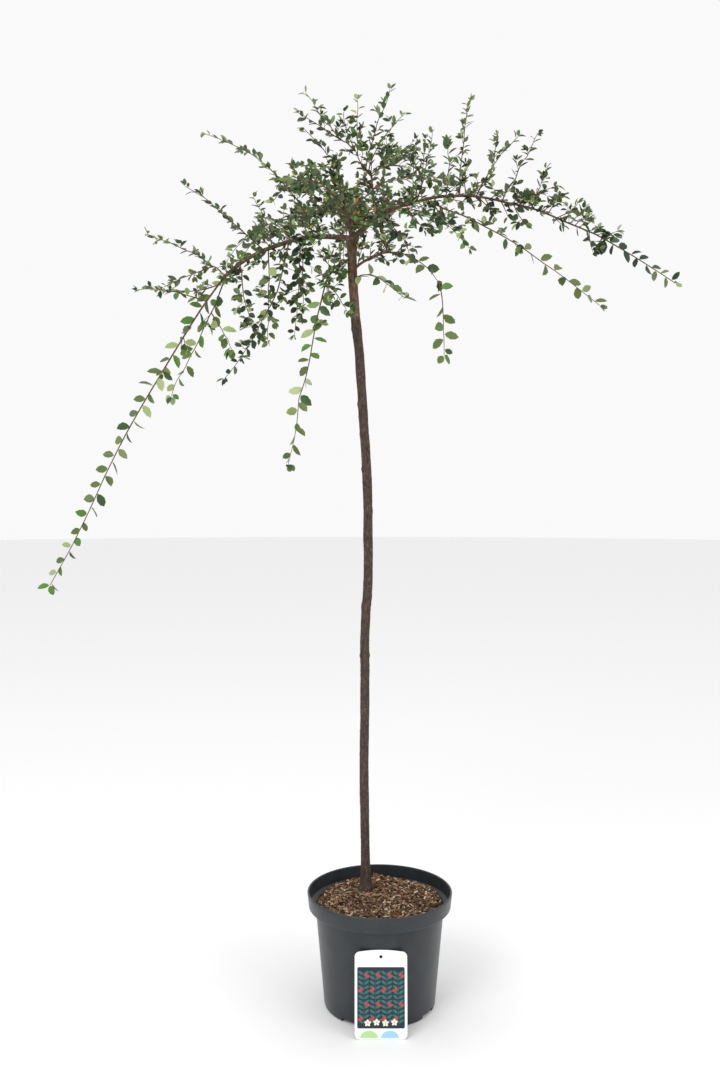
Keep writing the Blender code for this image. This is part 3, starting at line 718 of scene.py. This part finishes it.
def soil_height(r, x, y):
    edge = POT_WALL_TOP_R - POT_WALL - 0.002
    t = max(0.0, min(1.0, (r - SOIL_FLAT_R) / (edge - SOIL_FLAT_R)))
    z = SOIL_FLAT_Z - 0.0016 + (SOIL_EDGE_Z - SOIL_FLAT_Z) * t
    z += 0.0016 * noise.noise(Vector((x * 60, y * 60, 0.4)))
    return z + 0.0010 * noise.noise(Vector((x * 190, y * 190, 2.4)))


def make_soil(mats):
    batch = Batch()
    edge = wall_radius(SOIL_EDGE_Z) - POT_WALL - 0.0006
    rings, steps = 44, 120
    verts, faces = [], []
    for i in range(rings):
        r = edge * (i + 1) / rings
        for j in range(steps):
            a = 2 * math.pi * j / steps
            x, y = r * math.cos(a), r * math.sin(a)
            verts.append((x, y, soil_height(r, x, y)))
    low = []
    for depth, shrink in ((0.100, 0.0045), (POT_WALL + 0.0008, 0.0120)):
        for j in range(steps):
            a = 2 * math.pi * j / steps
            r = wall_radius(depth) - POT_WALL - 0.0012
            low.append((r * math.cos(a), r * math.sin(a), depth))
    verts += low
    verts += [(0, 0, soil_height(0, 0, 0)), (0, 0, POT_WALL + 0.0008)]
    for i in range(rings + 1):
        for j in range(steps):
            k = (j + 1) % steps
            faces.append((i * steps + j, (i + 1) * steps + j,
                          (i + 1) * steps + k, i * steps + k))
    top, bottom = len(verts) - 2, len(verts) - 1
    for j in range(steps):
        k = (j + 1) % steps
        faces.append((top, j, k))
        faces.append((bottom, (rings + 1) * steps + k, (rings + 1) * steps + j))
    batch.add(np.array(verts), faces)
    obj = batch.build("mulch_bed", mats)
    return obj


BOX = [(0, 3, 2, 1), (4, 5, 6, 7), (0, 1, 5, 4), (1, 2, 6, 5), (2, 3, 7, 6), (3, 0, 4, 7)]


def make_chips(mats, weights):
    batch = Batch()
    rng = np.random.default_rng(5)
    edge = wall_radius(SOIL_EDGE_Z) - POT_WALL - 0.004
    for k in range(3800):
        r = edge * math.sqrt(rng.random())
        a = rng.uniform(0, 2 * math.pi)
        x, y = r * math.cos(a), r * math.sin(a)
        if math.hypot(x + 0.0197, y - 0.026) < 0.0120:
            continue
        long = rng.uniform(0.0025, 0.0085) if rng.random() < 0.8 else rng.uniform(0.008, 0.014)
        wide = long * rng.uniform(0.16, 0.5)
        wide = max(0.0009, min(wide, 0.0040))
        thick = rng.uniform(0.0005, 0.0013)
        spin = rng.uniform(0, 2 * math.pi)
        along = np.array([math.cos(spin), math.sin(spin), rng.normal(0, 0.24)])
        along = unit(along)
        up = unit(np.array([rng.normal(0, 0.3), rng.normal(0, 0.3), 1.0]))
        across = unit(np.cross(up, along))
        up = np.cross(along, across)
        mid = np.array([x, y, soil_height(r, x, y) + rng.uniform(0.0, 0.0016)])
        corners = []
        for level in (-0.5, 0.5):
            for p, q in ((-0.5, -0.5), (0.5, -0.5), (0.5, 0.5), (-0.5, 0.5)):
                taper = rng.uniform(0.45, 1.0)
                corners.append(mid + along * long * p * rng.uniform(0.85, 1.0)
                               + across * wide * q * taper + up * thick * level)
        corners = np.array(corners)
        reach = np.hypot(corners[:, 0], corners[:, 1]).max()
        if reach > edge + 0.003:
            continue
        corners[:, 2] = np.minimum(corners[:, 2], POT_HEIGHT - 0.003)
        batch.add(corners, BOX, int(rng.choice(len(mats), p=weights)))
    return batch.build("mulch_chips", mats, smooth=False)


# ----------------------------------------------------------------- label
def label_place():
    return (Matrix.Translation((0.0, LABEL_FOOT_Y, 0.0002))
            @ Matrix.Rotation(math.radians(90 - LABEL_LEAN), 4, "X"))


def outline_corner(cx, cy, radius, first, steps=8):
    return [(cx + radius * math.cos(math.radians(first + 90 * k / steps)),
             cy + radius * math.sin(math.radians(first + 90 * k / steps)))
            for k in range(steps + 1)]


def round_rect(x0, y0, x1, y1, radius):
    return (outline_corner(x1 - radius, y0 + radius, radius, -90)
            + outline_corner(x1 - radius, y1 - radius, radius, 0)
            + outline_corner(x0 + radius, y1 - radius, radius, 90)
            + outline_corner(x0 + radius, y0 + radius, radius, 180))


def flat_shape(name, outlines, depth, lift, mat):
    """A thin flat sheet of one or more outlines in the label's plane."""
    data = bpy.data.curves.new(name, "CURVE")
    data.dimensions = "2D"
    data.fill_mode = "BOTH"
    data.extrude = depth / 2
    for outline in outlines:
        spline = data.splines.new("POLY")
        spline.points.add(len(outline) - 1)
        for point, (x, y) in zip(spline.points, outline):
            point.co = (x, y, 0.0, 1.0)
        spline.use_cyclic_u = True
    curve = bpy.data.objects.new(name + "_line", data)
    bpy.context.scene.collection.objects.link(curve)
    curve.matrix_world = label_place() @ Matrix.Translation((0, 0, lift))
    bpy.context.view_layer.update()
    graph = bpy.context.evaluated_depsgraph_get()
    mesh = bpy.data.meshes.new_from_object(curve.evaluated_get(graph))
    mesh.transform(curve.matrix_world)
    mesh.materials.clear()
    mesh.materials.append(mat)
    mesh.polygons.foreach_set("material_index", [0] * len(mesh.polygons))
    obj = bpy.data.objects.new(name, mesh)
    bpy.context.scene.collection.objects.link(obj)
    bpy.data.objects.remove(curve, do_unlink=True)
    return obj


def ellipse(cx, cy, a, b, turn, steps=18, point=0.0):
    out = []
    for k in range(steps):
        t = 2 * math.pi * k / steps
        x, y = a * math.cos(t), b * math.sin(t) * (1 - point * abs(math.cos(t)) ** 3)
        out.append((cx + x * math.cos(turn) - y * math.sin(turn),
                    cy + x * math.sin(turn) + y * math.cos(turn)))
    return out


def make_label(mats):
    half, top = LABEL_WIDTH / 2, LABEL_HEIGHT - LABEL_ARCH
    card = outline_corner(half - LABEL_CORNER, LABEL_CORNER, LABEL_CORNER, -90)
    card += outline_corner(half - LABEL_CORNER, top - LABEL_CORNER, LABEL_CORNER, 0)
    for k in range(1, 12):
        u = 1 - 2 * k / 12
        card.append((u * (half - LABEL_CORNER), top + LABEL_ARCH * (1 - u * u)))
    card += outline_corner(-half + LABEL_CORNER, top - LABEL_CORNER, LABEL_CORNER, 90)
    card += outline_corner(-half + LABEL_CORNER, LABEL_CORNER, LABEL_CORNER, 180)
    hole = list(reversed(ellipse(0.0, LABEL_HEIGHT - 0.009, 0.0022, 0.0022, 0.0)))
    pieces = [flat_shape("label_card", [card, hole], LABEL_THICK, 0.0, mats["card"])]
    front = LABEL_THICK / 2
    # a plain dark panel with a fan of sprigs, round fruits and small flowers
    x0, x1, y0, y1 = -half + 0.0035, half - 0.0035, 0.0145, 0.0945
    pieces.append(flat_shape("label_panel", [round_rect(x0, y0, x1, y1, 0.0020)],
                             0.0001, front + 0.00008, mats["panel"]))
    leaves, fruits, petals, hearts, stems = [], [], [], [], []
    rng = random.Random(31)
    for column, lean in ((-0.0234, 0.0), (-0.0078, 0.0), (0.0078, 0.0), (0.0234, 0.0)):
        stems.append([(column - 0.0003, y0 + 0.004), (column + 0.0003, y0 + 0.004),
                      (column + lean * 0.07 + 0.0003, y1 - 0.006),
                      (column + lean * 0.07 - 0.0003, y1 - 0.006)])
        for k in range(11):
            y = y0 + 0.008 + 0.0063 * k
            x = column + lean * (y - y0)
            for side in (-1, 1):
                turn = math.radians(90 - side * rng.uniform(48, 62))
                cx = x + side * 0.0040
                if abs(cx) + 0.0045 < half - 0.0035:
                    leaves.append(ellipse(cx, y + 0.0015, 0.0042, 0.0019, turn, 14, 0.5))
            if k % 3 == 1:
                side = 1 if (k // 3) % 2 else -1
                fruits.append(ellipse(x + side * 0.0030, y - 0.0012, 0.0022, 0.0022, 0, 16))
                fruits.append(ellipse(x + side * 0.0062, y - 0.0026, 0.0019, 0.0019, 0, 16))
    for cx, cy in ((0.018, y0 + 0.008), (0.006, y0 + 0.007), (-0.006, y0 + 0.008),
                   (-0.018, y0 + 0.007)):
        for k in range(5):
            t = 2 * math.pi * k / 5 + 0.3
            petals.append(ellipse(cx + 0.0026 * math.cos(t), cy + 0.0026 * math.sin(t),
                                  0.0021, 0.0016, t, 12))
        hearts.append(ellipse(cx, cy, 0.0012, 0.0012, 0, 10))

    def many(name, outlines, lift, mat):
        batch = Batch()
        place = label_place() @ Matrix.Translation((0, 0, front + lift))
        for outline in outlines:
            outline = [(max(x0 + 0.0004, min(x1 - 0.0004, x)),
                        max(y0 + 0.0004, min(y1 - 0.0004, y))) for x, y in outline]
            verts = np.array([tuple(place @ Vector((x, y, 0.0))) for x, y in outline])
            batch.add(verts, [tuple(range(len(outline)))])
        return batch.build(name, [mat], smooth=False)

    pieces.append(many("label_stalks", stems, 0.00018, mats["stalk"]))
    pieces.append(many("label_foliage", leaves, 0.00023, mats["foliage"]))
    pieces.append(many("label_fruits", fruits, 0.00029, mats["fruit"]))
    pieces.append(many("label_petals", petals, 0.00035, mats["petal"]))
    pieces.append(many("label_hearts", hearts, 0.00041, mats["heart"]))
    # two soft tabs under the panel
    place_y = 0.0020
    for name, cx, mat in (("label_tab_a", -0.016, mats["green"]),
                          ("label_tab_b", 0.012, mats["blue"])):
        arch = [(cx + 0.012 * math.cos(math.pi * k / 14),
                 place_y + 0.0095 * math.sin(math.pi * k / 14)) for k in range(15)]
        arch = [(x, max(y, place_y)) for x, y in arch]
        place = label_place() @ Matrix.Translation((0, 0, front + 0.00010))
        batch = Batch()
        batch.add(np.array([tuple(place @ Vector((x, y, 0.0))) for x, y in arch]),
                  [tuple(range(len(arch)))])
        pieces.append(batch.build(name, [mat], smooth=False))
    return pieces


# ----------------------------------------------------------------- set up
def make_materials():
    m = {}
    m["bark_low"] = bark_material("bark_low", (0.020, 0.013, 0.010), (0.060, 0.040, 0.030),
                                  (0.125, 0.090, 0.066), (0.150, 0.112, 0.080))
    m["bark_high"] = bark_material("bark_high", (0.035, 0.020, 0.012), (0.120, 0.070, 0.042),
                                   (0.250, 0.160, 0.095), (0.300, 0.200, 0.110))
    m["bark_limb"] = bark_material("bark_limb", (0.040, 0.020, 0.014), (0.115, 0.060, 0.042),
                                   (0.220, 0.140, 0.100), (0.260, 0.180, 0.130))
    m["bark_shoot"] = bark_material("bark_shoot", (0.060, 0.024, 0.015), (0.135, 0.058, 0.036),
                                    (0.220, 0.110, 0.070), (0.240, 0.140, 0.090))
    m["bark_twig"] = bark_material("bark_twig", (0.075, 0.030, 0.018), (0.150, 0.065, 0.040),
                                   (0.220, 0.120, 0.070), (0.230, 0.130, 0.080))
    greens = {
        "dark": ((0.018, 0.044, 0.016), (0.095, 0.145, 0.062)),
        "mid": ((0.042, 0.088, 0.022), (0.135, 0.195, 0.075)),
        "olive": ((0.100, 0.150, 0.034), (0.200, 0.265, 0.095)),
        "bright": ((0.080, 0.200, 0.026), (0.190, 0.320, 0.090)),
        "pale": ((0.300, 0.380, 0.150), (0.400, 0.470, 0.240)),
        "yellow": ((0.620, 0.500, 0.060), (0.620, 0.520, 0.150)),
        "russet": ((0.420, 0.150, 0.035), (0.400, 0.200, 0.080)),
        "dry": ((0.170, 0.075, 0.035), (0.240, 0.130, 0.070)),
    }
    for name, (face, back) in greens.items():
        m["leaf_" + name] = leaf_material("leaf_" + name, face, 0.42)
        m["back_" + name] = leaf_material("back_" + name, back, 0.62)
    for name, colour in (("tan", (0.300, 0.180, 0.088)), ("brown", (0.125, 0.068, 0.038)),
                         ("black", (0.020, 0.015, 0.012)), ("cream", (0.520, 0.420, 0.290)),
                         ("rust", (0.240, 0.070, 0.026)), ("umber", (0.060, 0.035, 0.022))):
        m["chip_" + name] = chip_material("chip_" + name, colour)
    m["bed"] = chip_material("mulch_bed_dark", (0.050, 0.032, 0.022))

    pot, nodes, links, bsdf = new_mat("pot_plastic_dark", (0.020, 0.024, 0.028), 0.36, 0.42)
    vec = object_coords(nodes, links)
    cloud = noise_node(nodes, links, vec, 26.0, 4.0, 0.6)
    links.new(ramp(nodes, links, cloud, [(0.30, (0.015, 0.018, 0.021)),
                                         (0.70, (0.026, 0.031, 0.036))]),
              bsdf.inputs["Base Color"])
    fine = noise_node(nodes, links, vec, 700.0, 2.0, 0.5)
    bump(nodes, links, bsdf, fine, 0.12, 0.0003)
    m["pot"] = pot
    for name, colour, rough in (("card", (0.86, 0.86, 0.85), 0.28),
                                ("panel", (0.004, 0.014, 0.024), 0.25),
                                ("stalk", (0.030, 0.110, 0.110), 0.3),
                                ("foliage", (0.016, 0.130, 0.125), 0.3),
                                ("fruit", (0.560, 0.026, 0.030), 0.25),
                                ("petal", (0.820, 0.800, 0.680), 0.3),
                                ("heart", (0.640, 0.560, 0.180), 0.3),
                                ("green", (0.420, 0.680, 0.300), 0.3),
                                ("blue", (0.330, 0.600, 0.780), 0.3)):
        mat, nodes, links, bsdf = new_mat("print_" + name, colour, rough, 0.5)
        vec = object_coords(nodes, links)
        bump(nodes, links, bsdf, noise_node(nodes, links, vec, 300.0), 0.05, 0.0002)
        m[name] = mat
    return m


def finish_piece(obj, nodes=()):
    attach(obj, "root")
    if nodes:
        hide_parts(*nodes)
    return obj


def make_stage():
    mat, nodes, links, bsdf = new_mat("floor_pale", (0.90, 0.90, 0.90), 0.75, 0.2)
    bpy.ops.mesh.primitive_circle_add(vertices=96, radius=14.0, fill_type="NGON",
                                      location=(0, 0, -0.0002))
    floor = bpy.context.object
    floor.name = "floor"
    floor.data.materials.append(mat)

    world = bpy.data.worlds.new("soft_white")
    bpy.context.scene.world = world
    world.use_nodes = True
    back = world.node_tree.nodes["Background"]
    back.inputs["Color"].default_value = (1.0, 1.0, 1.0, 1.0)
    back.inputs["Strength"].default_value = 0.95

    def area(name, place, target, size, power):
        data = bpy.data.lights.new(name, "AREA")
        data.shape = "SQUARE"
        data.size = size
        data.energy = power
        lamp = bpy.data.objects.new(name, data)
        bpy.context.scene.collection.objects.link(lamp)
        lamp.location = place
        lamp.rotation_euler = (Vector(target) - Vector(place)).to_track_quat("-Z", "Y").to_euler()

    area("key", (-1.6, -2.4, 2.9), (0, 0, 0.7), 1.6, 46.0)
    area("fill", (2.3, -1.8, 2.0), (0, 0, 0.8), 1.8, 20.0)

    data = bpy.data.cameras.new("camera")
    data.sensor_width = 36.0
    data.lens = 35.37
    data.clip_end = 60.0
    cam = bpy.data.objects.new("camera", data)
    bpy.context.scene.collection.objects.link(cam)
    cam.location = (-0.0283, -1.497, 0.743)
    cam.rotation_euler = (math.radians(90 - 2.91), 0.0, 0.0)
    bpy.context.scene.camera = cam
    bpy.context.scene.view_settings.view_transform = "Standard"


def main():
    m = make_materials()
    trunk = make_trunk([m["bark_low"], m["bark_high"]])
    finish_piece(trunk, ["stem"])
    wood, twigs, leaves = grow(m)
    limbs = wood.build("limbs_and_shoots", [m["bark_limb"], m["bark_shoot"]])
    finish_piece(limbs, BOUGH_NODES)
    finish_piece(twigs.build("side_twigs", [m["bark_twig"]]), LEAF_NODES)
    for name, batch in leaves.sets.items():
        if batch.count:
            tone = "" if name in ("yellow", "russet", "dry") else "_green"
            obj = batch.build("leaves_" + name + tone,
                              [m["leaf_" + name], m["back_" + name]])
            finish_piece(obj, LEAF_NODES)
    print("leaves:", leaves.total)
    finish_piece(make_pot(m["pot"]), ["pot"])
    finish_piece(make_soil([m["bed"]]), ["soil"])
    chips = make_chips([m["chip_tan"], m["chip_brown"], m["chip_black"], m["chip_cream"],
                        m["chip_rust"], m["chip_umber"]],
                       [0.25, 0.27, 0.15, 0.09, 0.025, 0.215])
    finish_piece(chips, ["soil"])
    for piece in make_label(m):
        finish_piece(piece, ["plant_label"])
    make_stage()
    bpy.context.view_layer.update()


main()
